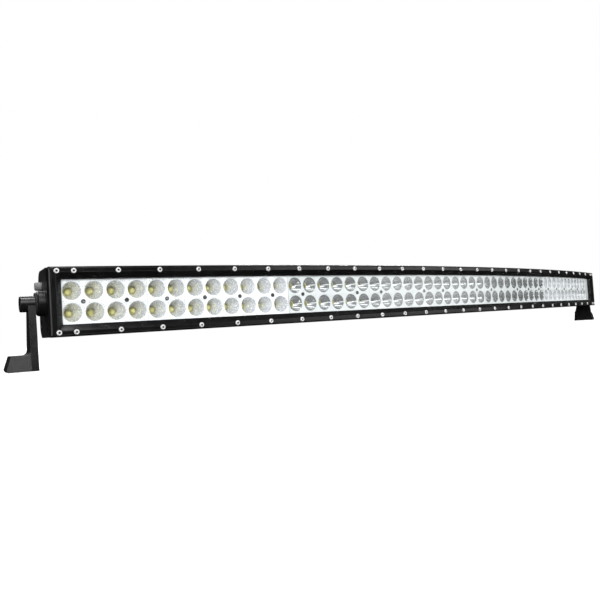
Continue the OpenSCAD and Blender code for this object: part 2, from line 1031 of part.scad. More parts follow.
module pivot_bolt(side) {
    seat = leg_x + web_t + washer_t + spring_t + 0.05;
    color([0.25, 0.25, 0.26])
        on_end(side)
            translate([0, pivot_d, 0])
                difference() {
                    union() {
                        rod_x(-9, seat + 0.01, bolt_r);
                        rod_x(seat, seat + bolt_head_l - 1, barrel_r - 2.3);
                        rod_x(seat + bolt_head_l - 1.01, seat + bolt_head_l, barrel_r - 2.3, barrel_r - 3);
                    }
                    translate([seat + bolt_head_l - 4, 0, 0])
                        rotate([0, 90, 0])
                            cylinder(r = 3.46, h = 5, $fn = 6);
                }
}

module pivot_bolt_left() { pivot_bolt(-1); }
module pivot_bolt_right() { pivot_bolt(1); }

housing();
bezel();
bezel_screws();
lens();
lens_gasket();
end_cap_left();
end_cap_right();
end_cap_gasket_left();
end_cap_gasket_right();
end_cap_screws();
breather_valve();
flood_reflectors_left();
flood_reflectors_right();
spot_reflectors();
blanking_strip();
reflector_screws();
led_boards();
led_bodies();
led_domes();
thermal_pads();
board_jumpers();
feed_wire_red();
feed_wire_black();
wire_grommet();
driver_boards();
driver_inductors();
driver_capacitors();
driver_chips();
driver_pads();
cable_gland();
gland_nut();
gland_seal();
supply_cable();
power_plug();
plug_pins();
bracket_left();
bracket_right();
rubber_washers();
pivot_bolt_left();
pivot_bolt_right();
flat_washers();
spring_washers();
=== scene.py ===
"""Looks of the curved double-row LED light bar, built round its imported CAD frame.

Lengths in the builders are millimetres in the bar's own frames and become metres when a mesh is made.
On the bow, s runs along the front face, d goes into the bar and z is the height above its middle.
"""
import json
import math

import bmesh
import bpy
from mathutils import Matrix, Vector
from mathutils.geometry import tessellate_polygon

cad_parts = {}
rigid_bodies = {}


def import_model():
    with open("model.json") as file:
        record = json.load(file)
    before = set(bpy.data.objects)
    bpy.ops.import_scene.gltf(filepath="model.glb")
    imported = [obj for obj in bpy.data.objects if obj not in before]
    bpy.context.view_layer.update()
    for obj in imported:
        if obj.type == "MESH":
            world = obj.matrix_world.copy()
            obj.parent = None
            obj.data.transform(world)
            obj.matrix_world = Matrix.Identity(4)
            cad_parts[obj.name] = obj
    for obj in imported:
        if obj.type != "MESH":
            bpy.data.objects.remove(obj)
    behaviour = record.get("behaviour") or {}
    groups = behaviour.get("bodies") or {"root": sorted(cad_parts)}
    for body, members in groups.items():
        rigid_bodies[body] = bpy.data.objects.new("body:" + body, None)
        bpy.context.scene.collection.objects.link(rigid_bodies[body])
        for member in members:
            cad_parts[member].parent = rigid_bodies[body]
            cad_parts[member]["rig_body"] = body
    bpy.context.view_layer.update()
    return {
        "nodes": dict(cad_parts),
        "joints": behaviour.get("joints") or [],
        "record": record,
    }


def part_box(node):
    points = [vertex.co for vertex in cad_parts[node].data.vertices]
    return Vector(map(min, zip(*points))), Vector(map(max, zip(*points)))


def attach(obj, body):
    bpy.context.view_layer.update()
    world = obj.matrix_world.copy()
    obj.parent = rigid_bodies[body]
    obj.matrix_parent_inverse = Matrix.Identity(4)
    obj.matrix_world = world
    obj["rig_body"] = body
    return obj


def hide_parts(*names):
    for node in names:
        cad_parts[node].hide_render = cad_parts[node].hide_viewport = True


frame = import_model()

# ---------- sizes shared by the pieces, in millimetres ----------

MM = 0.001
MERGE_DISTANCE = 1e-6  # metres
SHARP_DEG = 32
BOW_R = 2991.0
LED_PITCH = 25.4
LED_COLUMNS = 52
BLANK_L = 28.0
SCREW_PITCH = 2 * LED_PITCH
SCREWS_PER_ROW = 27
SCREW_Z = 35.0
BEZEL_HALF_H = 40.0
BEZEL_BACK = 9.45
WINDOW_HALF_H = 26.0
WINDOW_SLOPE = 6.5
LENS_D = 6.55
LENS_T = 3.0
LENS_HALF_H = 30.8
PLATE_D = 11.7
PLATE_HALF_H = 27.2
CUP_R = 11.0
CUP_DEPTH = 22.8
FLOOD_THROAT_R = 5.0
SPOT_THROAT_R = 4.5
BOARD_D = 34.6
FLOOD_COLUMNS = (4, 4, 4)
SPOT_COLUMNS = (6, 6, 6, 6, 4)

# The bow's angle, height and front come from the frame itself
swivel_axis = Vector(frame["joints"][-1]["axis"])
HALF_ANGLE = math.atan2(swivel_axis.y, abs(swivel_axis.x))
BAR_HALF = BOW_R * HALF_ANGLE
APEX_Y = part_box("bezel")[0].y
MID_Z = frame["joints"][-1]["pos_m"][2]
ARRAY_START = -(LED_COLUMNS * LED_PITCH + BLANK_L) / 2
WINDOW_HALF_L = -ARRAY_START - 0.5
CORNER_SCREW_S = BAR_HALF - 10.6
HOUSING_HALF = BAR_HALF - 15.0


# ---------- frames on the bar ----------

def bow_point(s, d, z):
    """World place of a point on the bow."""
    angle = s / BOW_R
    r = BOW_R - d
    return Vector((r * math.sin(angle) * MM, APEX_Y + (BOW_R - r * math.cos(angle)) * MM, MID_Z + z * MM))


def bow_matrix(s):
    """Local millimetre frame on the bow: x along the bar, y into it, z up."""
    return Matrix.Translation(bow_point(s, 0, 0)) @ Matrix.Rotation(s / BOW_R, 4, "Z") @ Matrix.Scale(MM, 4)


def end_matrix(side):
    """Local millimetre frame on an end: x outwards from the cap's face, y into the bar, z up."""
    mirror = Matrix.Scale(side, 4, Vector((1, 0, 0)))
    return mirror @ bow_matrix(BAR_HALF)


# ---------- mesh helpers ----------

class Shape:
    """Vertices and faces gathered for one piece. Each face carries a material number and a smooth flag."""

    def __init__(self):
        self.points = []
        self.faces = []
        self.looks = []
        self.smooth = []

    def add(self, points, faces, look=0, smooth=True, place=None):
        """Adds points and faces numbered from the first of them, and returns that first number."""
        base = len(self.points)
        self.points.extend(place @ Vector(p) if place else Vector(p) for p in points)
        self.add_faces(base, faces, look, smooth)
        return base

    def add_faces(self, base, faces, look=0, smooth=True):
        """Adds faces on points that are there already."""
        self.faces.extend([base + i for i in face] for face in faces)
        self.looks.extend([look] * len(faces))
        self.smooth.extend([smooth] * len(faces))

    def mesh(self, name):
        data = bpy.data.meshes.new(name)
        data.from_pydata(self.points, [], self.faces)
        data.polygons.foreach_set("material_index", self.looks)
        data.polygons.foreach_set("use_smooth", self.smooth)
        data.update()
        return data


def bridge(rows, count):
    """Quads between closed rows of count points each, numbered row after row."""
    faces = []
    for j in range(rows - 1):
        for i in range(count):
            k = (i + 1) % count
            faces.append((j * count + i, j * count + k, (j + 1) * count + k, (j + 1) * count + i))
    return faces


def lathe(profile, segments, ring_radius=None):
    """A closed solid turned about the y axis from (radius, y) pairs that start and end on the axis."""
    points = []
    faces = []
    rings = []
    for j, (r, y) in enumerate(profile):
        if r == 0:
            rings.append([len(points)])
            points.append((0, y, 0))
            continue
        ring = []
        for i in range(segments):
            angle = 2 * math.pi * i / segments
            reach = ring_radius(j, r, angle) if ring_radius else r
            ring.append(len(points))
            points.append((reach * math.cos(angle), y, reach * math.sin(angle)))
        rings.append(ring)
    for a, b in zip(rings, rings[1:]):
        for i in range(segments):
            k = (i + 1) % segments
            if len(a) == 1:
                faces.append((a[0], b[k], b[i]))
            elif len(b) == 1:
                faces.append((a[i], a[k], b[0]))
            else:
                faces.append((a[i], a[k], b[k], b[i]))
    return points, faces


def rounded(outline, radius, steps=2):
    """The outline with every corner rounded, as far as its sides allow."""
    result = []
    count = len(outline)
    for i, point in enumerate(outline):
        here = Vector(point)
        before = Vector(outline[i - 1]) - here
        after = Vector(outline[(i + 1) % count]) - here
        reach = min(radius, before.length * 0.45, after.length * 0.45)
        a = here + before.normalized() * reach
        b = here + after.normalized() * reach
        for k in range(steps + 1):
            t = k / steps
            result.append(tuple(a * (1 - t) ** 2 + here * 2 * t * (1 - t) + b * t ** 2))
    return result


def sweep(loops, s0, s1, steps):
    """A closed solid: loops of (d, z) points swept along the bow. The first is outside, the rest holes."""
    shape = Shape()
    flat = [point for loop in loops for point in loop]
    count = len(flat)
    stations = [s0 + (s1 - s0) * i / steps for i in range(steps + 1)]
    faces = []
    start = 0
    for loop in loops:
        for i in range(steps):
            for j in range(len(loop)):
                a = start + j
                b = start + (j + 1) % len(loop)
                faces.append((i * count + a, i * count + b, (i + 1) * count + b, (i + 1) * count + a))
        start += len(loop)
    cap = tessellate_polygon([[Vector((d, z, 0)) for d, z in loop] for loop in loops])
    faces += [tuple(f) for f in cap]
    faces += [tuple(steps * count + i for i in f) for f in cap]
    shape.add([bow_point(s, d, z) for s in stations for d, z in flat], faces)
    return shape


def merge_and_orient(obj):
    """Joins coincident points and turns every face outwards."""
    work = bmesh.new()
    work.from_mesh(obj.data)
    bmesh.ops.remove_doubles(work, verts=work.verts, dist=MERGE_DISTANCE)
    bmesh.ops.recalc_face_normals(work, faces=work.faces)
    work.to_mesh(obj.data)
    work.free()


def new_object(name, shape, sharp_deg=SHARP_DEG):
    obj = bpy.data.objects.new(name, shape.mesh(name))
    bpy.context.scene.collection.objects.link(obj)
    merge_and_orient(obj)
    obj.data.set_sharp_from_angle(angle=math.radians(sharp_deg))
    return obj


def piece(name, shape, materials, stands_for, sharp_deg=SHARP_DEG):
    """A new piece on the bar, in place of the CAD nodes it stands for."""
    obj = new_object(name, shape, sharp_deg)
    for material in materials:
        obj.data.materials.append(material)
    even_normals(obj)
    finish_piece(obj, stands_for)


def finish_piece(obj, stands_for):
    """Puts a piece on the body of the nodes it stands for, and hides those nodes."""
    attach(obj, frame["nodes"][stands_for[0]]["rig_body"])
    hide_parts(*stands_for)


def even_normals(obj):
    modifier = obj.modifiers.new("even_normals", "WEIGHTED_NORMAL")
    modifier.keep_sharp = True
    modifier.weight = 60


def apply_modifiers(obj):
    """Replaces the mesh by what its modifiers make of it."""
    bpy.context.view_layer.update()
    graph = bpy.context.evaluated_depsgraph_get()
    data = bpy.data.meshes.new_from_object(obj.evaluated_get(graph))
    obj.modifiers.clear()
    obj.data = data


def cut(obj, cutter_shape):
    """Takes a closed shape away from a closed object."""
    cutter = new_object("cutter", cutter_shape)
    modifier = obj.modifiers.new("cut", "BOOLEAN")
    modifier.operation = "DIFFERENCE"
    modifier.solver = "MANIFOLD"
    modifier.object = cutter
    apply_modifiers(obj)
    bpy.data.objects.remove(cutter)


SLOTS = {part["node"]: part["material_slot"] for part in frame["record"]["subparts"]}


# ---------- materials ----------

class Nodes:
    """A material's node tree, with short calls for the nodes used here."""

    def __init__(self, name):
        self.material = bpy.data.materials.new(name)
        self.material.use_nodes = True
        self.tree = self.material.node_tree
        self.shader = self.tree.nodes["Principled BSDF"]
        self.output = self.tree.nodes["Material Output"]
        self.coords = self.tree.nodes.new("ShaderNodeTexCoord").outputs["Object"]

    def node(self, kind, inputs=None, **settings):
        made = self.tree.nodes.new(kind)
        for key, value in settings.items():
            setattr(made, key, value)
        for key, value in (inputs or {}).items():
            self.set(made, key, value)
        return made

    def set(self, node, key, value):
        if isinstance(value, bpy.types.NodeSocket):
            self.tree.links.new(value, node.inputs[key])
        else:
            node.inputs[key].default_value = value

    def noise(self, scale, detail=2.0, stretch=None):
        coords = self.coords
        if stretch:
            coords = self.node("ShaderNodeMapping", {"Vector": coords, "Scale": stretch}).outputs[0]
        made = self.node("ShaderNodeTexNoise",
                         {"Vector": coords, "Scale": scale, "Detail": detail, "Roughness": 0.5})
        return made.outputs["Fac"]

    def span(self, value, low, high, out_low, out_high):
        """Maps a value from one range to another, clamped."""
        made = self.node("ShaderNodeMapRange", {"Value": value, "From Min": low, "From Max": high,
                                                "To Min": out_low, "To Max": out_high})
        return made.outputs["Result"]

    def mix(self, factor, a, b):
        made = self.node("ShaderNodeMix", data_type="RGBA")
        self.set(made, 0, factor)
        self.set(made, 6, a)
        self.set(made, 7, b)
        return made.outputs[2]

    def math(self, operation, a, b=0.0):
        made = self.node("ShaderNodeMath", operation=operation)
        self.set(made, 0, a)
        self.set(made, 1, b)
        return made.outputs[0]

    def bump(self, height, strength, distance):
        inputs = {"Height": height, "Strength": strength, "Distance": distance}
        return self.node("ShaderNodeBump", inputs).outputs["Normal"]

    def edges(self, radius, low, high):
        """0 on open faces, rising to 1 on edges that turn within the radius."""
        soft = self.node("ShaderNodeBevel", {"Radius": radius}, samples=4)
        true = self.node("ShaderNodeNewGeometry")
        dot = self.node("ShaderNodeVectorMath", operation="DOT_PRODUCT")
        self.set(dot, 0, soft.outputs[0])
        self.set(dot, 1, true.outputs["Normal"])
        return self.span(self.math("SUBTRACT", 1.0, dot.outputs["Value"]), low, high, 0.0, 1.0)

    def finish(self, **inputs):
        for key, value in inputs.items():
            self.set(self.shader, key.replace("_", " "), value)
        return self.material


def grey(value):
    return (value, value, value, 1)


def powder_coat(name, base, roughness):
    """Black powder coat: orange-peel grain, cloudy sheen and a painted highlight: a paler line along its
    edges.
    """
    n = Nodes(name)
    edge_highlight_strength = 0.5
    cloud = n.span(n.noise(14, 3), 0.35, 0.65, 0, 1)
    colour = n.mix(cloud, grey(base * 0.75), (base * 1.25, base * 1.25, base * 1.3, 1))
    # Painted highlight: rounded edges are lightened towards grey, standing in for light catching them.
    edge = n.math("MULTIPLY", n.edges(0.7 * MM, 0.02, 0.3), edge_highlight_strength)
    colour = n.mix(edge, colour, grey(0.06))
    rough = n.span(n.noise(90, 3), 0.3, 0.7, roughness - 0.05, roughness + 0.06)
    normal = n.bump(n.noise(2200, 2), 0.22, 0.00006)
    return n.finish(Base_Color=colour, Roughness=rough, Normal=normal, Specular_IOR_Level=0.5)


def bright_metal(name, base, roughness, metallic=1.0):
    """Bare bright metal with fine turning marks and slight stains."""
    n = Nodes(name)
    grain = 900
    stain = n.span(n.noise(260, 3), 0.35, 0.75, 0, 1)
    colour = n.mix(stain, (*base, 1), (*[c * 0.78 for c in base], 1))
    rough = n.span(n.noise(grain, 2), 0.3, 0.7, roughness - 0.06, roughness + 0.08)
    normal = n.bump(n.noise(grain * 2, 1, stretch=(1, 1, 6)), 0.15, 0.00003)
    return n.finish(Base_Color=colour, Metallic=metallic, Roughness=rough, Normal=normal)


def metallised(name, base, roughness, metallic=0.4):
    """Vacuum-metallised moulding: bright, faintly uneven and slightly milky where the film is thin."""
    n = Nodes(name)
    haze = n.span(n.noise(60, 3), 0.3, 0.7, 0, 1)
    colour = n.mix(haze, (*base, 1), (*[c * 0.93 for c in base], 1))
    rough = n.span(n.noise(700, 2), 0.3, 0.7, roughness - 0.05, roughness + 0.05)
    normal = n.bump(n.noise(1500, 1), 0.1, 0.00003)
    return n.finish(Base_Color=colour, Metallic=metallic, Roughness=rough, Normal=normal)


def moulded(name, base, roughness, variation=0.2, coat=0.0, bump=0.15):
    """Moulded plastic, rubber or ceramic: fine texture and a slow drift in tone."""
    n = Nodes(name)
    drift = n.span(n.noise(30, 3), 0.3, 0.7, 0, 1)
    colour = n.mix(drift, (*base, 1), (*[c * (1 - variation) for c in base], 1))
    rough = n.span(n.noise(140, 2), 0.3, 0.7, max(0.05, roughness - 0.06), min(1.0, roughness + 0.06))
    normal = n.bump(n.noise(1400, 2), bump, 0.00006)
    return n.finish(Base_Color=colour, Roughness=rough, Normal=normal, Coat_Weight=coat, Coat_Roughness=0.05)


def clear_lens(name):
    """Clear polycarbonate as a thin surface: see-through with a Fresnel sheen."""
    n = Nodes(name)
    n.tree.nodes.remove(n.shader)
    haze = n.span(n.noise(25, 3), 0.3, 0.7, 0.03, 0.06)
    normal = n.bump(n.noise(40, 1), 0.05, 0.00005)
    clear = n.node("ShaderNodeBsdfTransparent", {"Color": (0.975, 0.985, 0.985, 1)})
    gloss = n.node("ShaderNodeBsdfGlossy", {"Color": grey(0.8), "Roughness": haze, "Normal": normal})
    fresnel = n.node("ShaderNodeFresnel", {"IOR": 1.4, "Normal": normal})
    seen = n.math("MULTIPLY", fresnel.outputs[0], 0.15)
    mixed = n.node("ShaderNodeMixShader", {0: seen, 1: clear.outputs[0], 2: gloss.outputs[0]})
    n.tree.links.new(mixed.outputs[0], n.output.inputs["Surface"])
    return n.material


def circuit_board(name, base, track):
    """Solder mask over copper tracks."""
    n = Nodes(name)
    lines = n.node("ShaderNodeTexBrick", {"Vector": n.coords, "Scale": 120.0, "Color1": (*base, 1),
                                          "Color2": (*[c * 0.92 for c in base], 1), "Mortar": (*track, 1),
                                          "Mortar Size": 0.03})
    normal = n.bump(n.noise(900, 2), 0.1, 0.00005)
    return n.finish(Base_Color=lines.outputs["Color"], Roughness=0.35, Normal=normal)


MATERIALS = {
    "black_aluminium": powder_coat("black_aluminium", 0.005, 0.30),
    "black_bezel": powder_coat("black_bezel", 0.003, 0.22),
    "black_cap": powder_coat("black_cap", 0.003, 0.42),
    "black_bracket": powder_coat("black_bracket", 0.004, 0.28),
    "bright_screws": bright_metal("bright_screws", (0.74, 0.74, 0.73), 0.28, metallic=0.35),
    "black_screws": bright_metal("black_screws", (0.10, 0.10, 0.105), 0.35),
    "dark_steel": bright_metal("dark_steel", (0.16, 0.16, 0.17), 0.36),
    "clear_lens": clear_lens("clear_lens"),
    "bright_reflector": metallised("bright_reflector", (0.93, 0.935, 0.945), 0.3),
    "satin_strip": metallised("satin_strip", (0.62, 0.64, 0.63), 0.42),
    "board_white": circuit_board("board_white", (0.36, 0.34, 0.20), (0.30, 0.29, 0.18)),
    "board_green": circuit_board("board_green", (0.03, 0.16, 0.07), (0.05, 0.24, 0.11)),
    "led_ceramic": moulded("led_ceramic", (0.52, 0.48, 0.20), 0.5, variation=0.3),
    "led_phosphor": moulded("led_phosphor", (0.66, 0.62, 0.24), 0.3, variation=0.15, coat=0.5),
    "thermal_silicone": moulded("thermal_silicone", (0.40, 0.45, 0.52), 0.8),
    "black_rubber": moulded("black_rubber", (0.012, 0.012, 0.012), 0.75, bump=0.3),
    "grey_plastic": moulded("grey_plastic", (0.15, 0.15, 0.15), 0.45),
    "black_plastic": moulded("black_plastic", (0.014, 0.014, 0.014), 0.5, bump=0.3),
    "red_insulation": moulded("red_insulation", (0.50, 0.03, 0.02), 0.4),
    "black_insulation": moulded("black_insulation", (0.013, 0.013, 0.013), 0.5, bump=0.3),
    "ferrite": moulded("ferrite", (0.08, 0.075, 0.072), 0.7, bump=0.5),
    "capacitor_can": bright_metal("capacitor_can", (0.30, 0.31, 0.36), 0.4),
    "brass_pins": bright_metal("brass_pins", (0.72, 0.56, 0.28), 0.3),
}
MIRROR_CUP = metallised("mirror_cup", (0.93, 0.935, 0.94), 0.055, metallic=0.88)
SATIN_CUP = metallised("satin_cup", (0.86, 0.865, 0.89), 0.26, metallic=0.5)
SPOT_PLATE = metallised("spot_plate", (0.60, 0.612, 0.615), 0.45, metallic=0.2)
DARK_SOCKET = moulded("socket_shadow", (0.004, 0.004, 0.004), 0.6)


# ---------- bezel ----------

def corner_path(half_l, half_h, radius, rail_d, end_d):
    """One closed loop round the bezel as (s, d, z), its depth blending from rails to ends in the corners."""
    rail_steps = 276
    end_steps = 8
    corner_steps = 6
    x = half_l - radius
    z = half_h - radius
    loop = []
    quarters = [(1, 1, 0), (-1, 1, 90), (-1, -1, 180), (1, -1, 270)]
    for sx, sz, start in quarters:
        for k in range(corner_steps + 1):
            a = math.radians(start + 90 * k / corner_steps)
            blend = abs(math.sin(a))
            d = end_d + (rail_d - end_d) * blend
            loop.append((sx * x + radius * math.cos(a), d, sz * z + radius * math.sin(a)))
        steps, d = (rail_steps, rail_d) if start in (0, 180) else (end_steps, end_d)
        for k in range(1, steps):
            t = k / steps
            if start == 0:
                loop.append((x - 2 * x * t, d, half_h))
            elif start == 90:
                loop.append((-half_l, d, z - 2 * z * t))
            elif start == 180:
                loop.append((-x + 2 * x * t, d, -half_h))
            else:
                loop.append((half_l, d, -z + 2 * z * t))
    return loop


def bezel_loops():
    """Loops of the bezel from its back edge, over the front, down the window's slope and back."""
    rail_edge = 1.8
    end_edge = 5.0
    h = BEZEL_HALF_H
    l = BAR_HALF
    track_depth = 0.5
    loops = [corner_path(l, h, 3.0, BEZEL_BACK, BEZEL_BACK)]
    for k in range(6):
        a = math.radians(18 * k)
        loops.append(corner_path(l - end_edge * (1 - math.cos(a)), h - rail_edge * (1 - math.cos(a)),
                                 3.0, rail_edge * (1 - math.sin(a)), end_edge * (1 - math.sin(a))))
    slope_l = WINDOW_HALF_L + WINDOW_SLOPE
    slope_h = WINDOW_HALF_H + WINDOW_SLOPE
    rows = [
        (slope_l + 3.6, SCREW_Z + 2.8, 2.4, 0, 0),
        (slope_l + 3.4, SCREW_Z + 2.6, 2.4, track_depth, 0),
        (slope_l + 1.4, SCREW_Z - 1.2, 2.0, track_depth, 0),
        (slope_l + 1.2, SCREW_Z - 1.4, 2.0, 0, 0),
        (slope_l + 0.3, slope_h + 0.3, 1.8, 0, 0),
        (slope_l - 0.3, slope_h - 0.3, 1.6, 0.3, 0.3),
        (WINDOW_HALF_L + 0.3, WINDOW_HALF_H + 0.3, 1.2, WINDOW_SLOPE - 0.3, WINDOW_SLOPE - 0.3),
        (WINDOW_HALF_L, WINDOW_HALF_H, 1.1, WINDOW_SLOPE, WINDOW_SLOPE),
        (CORNER_SCREW_S - 0.9, LENS_HALF_H + 0.3, 1.0, WINDOW_SLOPE + 0.02, WINDOW_SLOPE + 0.02),
        (CORNER_SCREW_S - 0.9, LENS_HALF_H + 0.3, 1.0, BEZEL_BACK, BEZEL_BACK),
    ]
    return loops + [corner_path(*row) for row in rows]


def screw_stations():
    row = [(i - (SCREWS_PER_ROW - 1) / 2) * SCREW_PITCH for i in range(SCREWS_PER_ROW)]
    return [-CORNER_SCREW_S] + row + [CORNER_SCREW_S]


def each_bezel_screw():
    for s in screw_stations():
        for side in (-1, 1):
            yield bow_matrix(s) @ Matrix.Translation((0, 0, side * SCREW_Z))


def build_bezel():
    loops = bezel_loops()
    shape = Shape()
    count = len(loops[0])
    faces = bridge(len(loops), count)
    last = (len(loops) - 1) * count
    faces += [(last + i, last + (i + 1) % count, (i + 1) % count, i) for i in range(count)]
    shape.add([bow_point(*p) for loop in loops for p in loop], faces)
    obj = new_object("bezel_frame", shape)
    recess = Shape()
    profile = [(0, -2), (4.4, -2), (3.95, 0), (3.7, 0.25), (3.7, 1.4), (1.7, 1.4), (1.7, 12), (0, 12)]
    for place in each_bezel_screw():
        recess.add(*lathe(profile, 32), place=place)
    cut(obj, recess)
    obj.data.set_sharp_from_angle(angle=math.radians(32))
    obj.data.materials.clear()
    obj.data.materials.append(MATERIALS["black_bezel"])
    even_normals(obj)
    finish_piece(obj, ("bezel",))


def hex_reach(r, angle):
    """Distance from the middle to the side of a hexagon whose corners are at r."""
    sector = math.radians(60)
    return r * math.cos(sector / 2) / math.cos((angle % sector) - sector / 2)


def socket_screw(head_r, head_l, shank_r, shank_l, socket_r):
    """Button-head socket screw along y, seated at 0, with (points, faces, socket faces)."""
    profile = [(0, -head_l * 0.35), (socket_r, -head_l * 0.35), (socket_r, -head_l * 0.93),
               (socket_r * 1.12, -head_l), (head_r * 0.72, -head_l), (head_r * 0.88, -head_l * 0.84),
               (head_r * 0.98, -head_l * 0.5), (head_r, -head_l * 0.16), (head_r * 0.96, 0),
               (shank_r, 0), (shank_r, shank_l), (0, shank_l)]

    def reach(j, r, angle):
        return hex_reach(r, angle) if j in (1, 2, 3) else r

    segments = 24
    points, faces = lathe(profile, segments, reach)
    return points, faces[2 * segments:], faces[:2 * segments]


def add_socket_screws(shape, places, sizes):
    points, head, socket = socket_screw(*sizes)
    for place in places:
        base = shape.add(points, head, place=place)
        shape.add_faces(base, socket, look=1, smooth=False)


def build_bezel_screws():
    shape = Shape()
    places = [place @ Matrix.Translation((0, 1.4, 0)) for place in each_bezel_screw()]
    add_socket_screws(shape, places, (3.1, 2.0, 1.5, 12.0, 1.45))
    piece("bezel_screw_set", shape, [MATERIALS["bright_screws"], DARK_SOCKET], ("bezel_screws",))


def cap_screw_places():
    head_seat = 2.39
    outwards = Matrix.Rotation(math.radians(90), 4, "Z")
    for side in (-1, 1):
        for d, z in ((18, 33), (18, -33), (57, 22), (57, -22)):
            yield end_matrix(side) @ Matrix.Translation((-head_seat, d, z)) @ outwards


def build_cap_screws():
    shape = Shape()
    add_socket_screws(shape, cap_screw_places(), (3.6, 2.1, 1.95, 10.4, 1.6))
    piece("end_cap_screw_set", shape, [MATERIALS["black_screws"], DARK_SOCKET], ("end_cap_screws",))


# ---------- lens and housing ----------

def rectangle(d0, d1, half_h):
    return [(d0, -half_h), (d1, -half_h), (d1, half_h), (d0, half_h)]


def build_lens():
    outline = rounded(rectangle(LENS_D, LENS_D + LENS_T, LENS_HALF_H), 0.4)
    half_l = CORNER_SCREW_S - 1.2
    shape = sweep([outline], -half_l, half_l, 240)
    piece("lens_cover", shape, [MATERIALS["clear_lens"]], ("lens",))


def housing_outline():
    """Outer outline of the extrusion: LED tray in front, grooves above and below, fins behind."""
    half_h = 39.0
    front = 9.5
    tray_z = 28.0
    tray_floor = 37.1
    duct_d = 41.8
    duct_back = 58.0
    duct_z = 14.0
    fin_tip = 66.0
    rib_pitch = 6.6
    rib_w = 2.4
    lip_d = 24.0
    groove_w = 3.6
    groove_floor = half_h - 6.5
    lens_seat_d = 11.2
    lens_seat_z = LENS_HALF_H + 0.3
    corner_r = 14.4
    corner_d = 53.0
    corner_z = half_h - corner_r

    def fin_end(z):
        """Depth of the back at a height, inside the end caps' rounded corners."""
        over = max(0.0, z - corner_z)
        return min(fin_tip, corner_d + math.sqrt(max(0.0, corner_r ** 2 - over ** 2)))

    upper = [(tray_floor, tray_z), (lens_seat_d, tray_z), (lens_seat_d, lens_seat_z),
             (front, lens_seat_z), (front, half_h)]
    for i in range(3):
        d = lip_d + i * rib_pitch
        upper += [(d, half_h), (d, groove_floor), (d + groove_w, groove_floor), (d + groove_w, half_h)]
    upper += [(fin_end(z), z) for z in (half_h, half_h - 0.2, half_h - 0.7)]
    slot_bottoms = [duct_z + i * (rib_pitch - 0.1) for i in range(4)]
    for bottom in reversed(slot_bottoms):
        top = bottom + rib_pitch - rib_w
        upper += [(fin_end(top), top), (duct_d, top), (duct_d, bottom)]
        if bottom != duct_z:
            upper.append((fin_end(bottom), bottom))
    upper.append((duct_back, duct_z))
    lower = [(d, -z) for d, z in reversed(upper)]
    return upper + lower


def build_housing():
    duct = rectangle(41.8, 55.5, 11.5)  # hollow for the drivers
    loops = [rounded(housing_outline(), 0.5), rounded(duct, 0.5)]
    shape = sweep(loops, -HOUSING_HALF, HOUSING_HALF, 160)
    piece("housing_extrusion", shape, [MATERIALS["black_aluminium"]], ("housing",))


# ---------- reflectors, LEDs and their screws ----------

def module_places(first_s, counts):
    """(frame, number of columns) of each straight moulding, from the arc length where they start."""
    start = first_s
    for columns in counts:
        yield bow_matrix(start + columns * LED_PITCH / 2), columns
        start += columns * LED_PITCH


SPOT_START = ARRAY_START + sum(FLOOD_COLUMNS) * LED_PITCH
RIGHT_START = SPOT_START + sum(SPOT_COLUMNS) * LED_PITCH
LEFT_FLOODS = (ARRAY_START, FLOOD_COLUMNS)
SPOTS = (SPOT_START, SPOT_COLUMNS)
RIGHT_FLOODS = (RIGHT_START, FLOOD_COLUMNS)


def column_x(columns):
    return [(i - (columns - 1) / 2) * LED_PITCH for i in range(columns)]


def fixing_x(columns):
    return [(1 - columns / 2) * LED_PITCH, (columns / 2 - 1) * LED_PITCH]


def every_module():
    for start, counts in (LEFT_FLOODS, SPOTS, RIGHT_FLOODS):
        yield from module_places(start, counts)


AROUND = 32  # points round a cup


def tile_rim(x0, x1, z0, z1, cx, cz):
    """Points on a rectangle's edge, one for each direction from the cup's centre, corners included."""
    rim = []
    eighth = AROUND // 8
    corners = {eighth: (x1, z1), 3 * eighth: (x0, z1), 5 * eighth: (x0, z0), 7 * eighth: (x1, z0)}
    for i in range(AROUND):
        if i in corners:
            rim.append(corners[i])
            continue
        a = 2 * math.pi * i / AROUND
        dx, dz = math.cos(a), math.sin(a)
        reach_x = ((x1 if dx > 0 else x0) - cx) / dx if abs(dx) > 1e-9 else 1e9
        reach_z = ((z1 if dz > 0 else z0) - cz) / dz if abs(dz) > 1e-9 else 1e9
        reach = min(reach_x, reach_z)
        rim.append((cx + dx * reach, cz + dz * reach))
    return rim


def cup_rings(throat, flood):
    """(radius, depth, twist) of the rings from a cup's mouth to its throat."""
    rings = [(CUP_R + 0.45, 0, 0), (CUP_R + 0.12, 0.1, 0), (CUP_R - 0.02, 0.45, 0)]
    steps = 8 if flood else 9
    for k in range(1, steps + 1):
        t = 1 - k / steps
        if flood:
            r = throat + (CUP_R - throat) * t
            twist = 0.5 * (k % 2)
        else:
            r = math.sqrt(throat ** 2 + (CUP_R ** 2 - throat ** 2) * t)
            twist = 0
        rings.append((r, CUP_DEPTH * (1 - t), twist))
    return rings


def add_cup(shape, place, box, cx, cz, throat, flood):
    """A square tile of the front plate with its cup."""
    points = [(x, PLATE_D, z) for x, z in tile_rim(*box, cx, cz)]
    rings = cup_rings(throat, flood)
    for r, depth, twist in rings:
        for i in range(AROUND):
            a = 2 * math.pi * (i + twist) / AROUND
            points.append((cx + r * math.cos(a), PLATE_D + depth, cz + r * math.sin(a)))
    plain = bridge(4, AROUND)
    walls = []
    for j in range(3, len(rings)):
        for i in range(AROUND):
            k = (i + 1) % AROUND
            a, b = j * AROUND + i, j * AROUND + k
            c, d = (j + 1) * AROUND + k, (j + 1) * AROUND + i
            if not flood:
                walls.append((a, b, c, d))
            elif rings[j][2] > 0:
                walls += [(a, c, d), (a, b, c)]
            else:
                walls += [(a, b, d), (b, c, d)]
    base = shape.add(points, plain, place=place)
    shape.add_faces(base, walls, look=1, smooth=not flood)


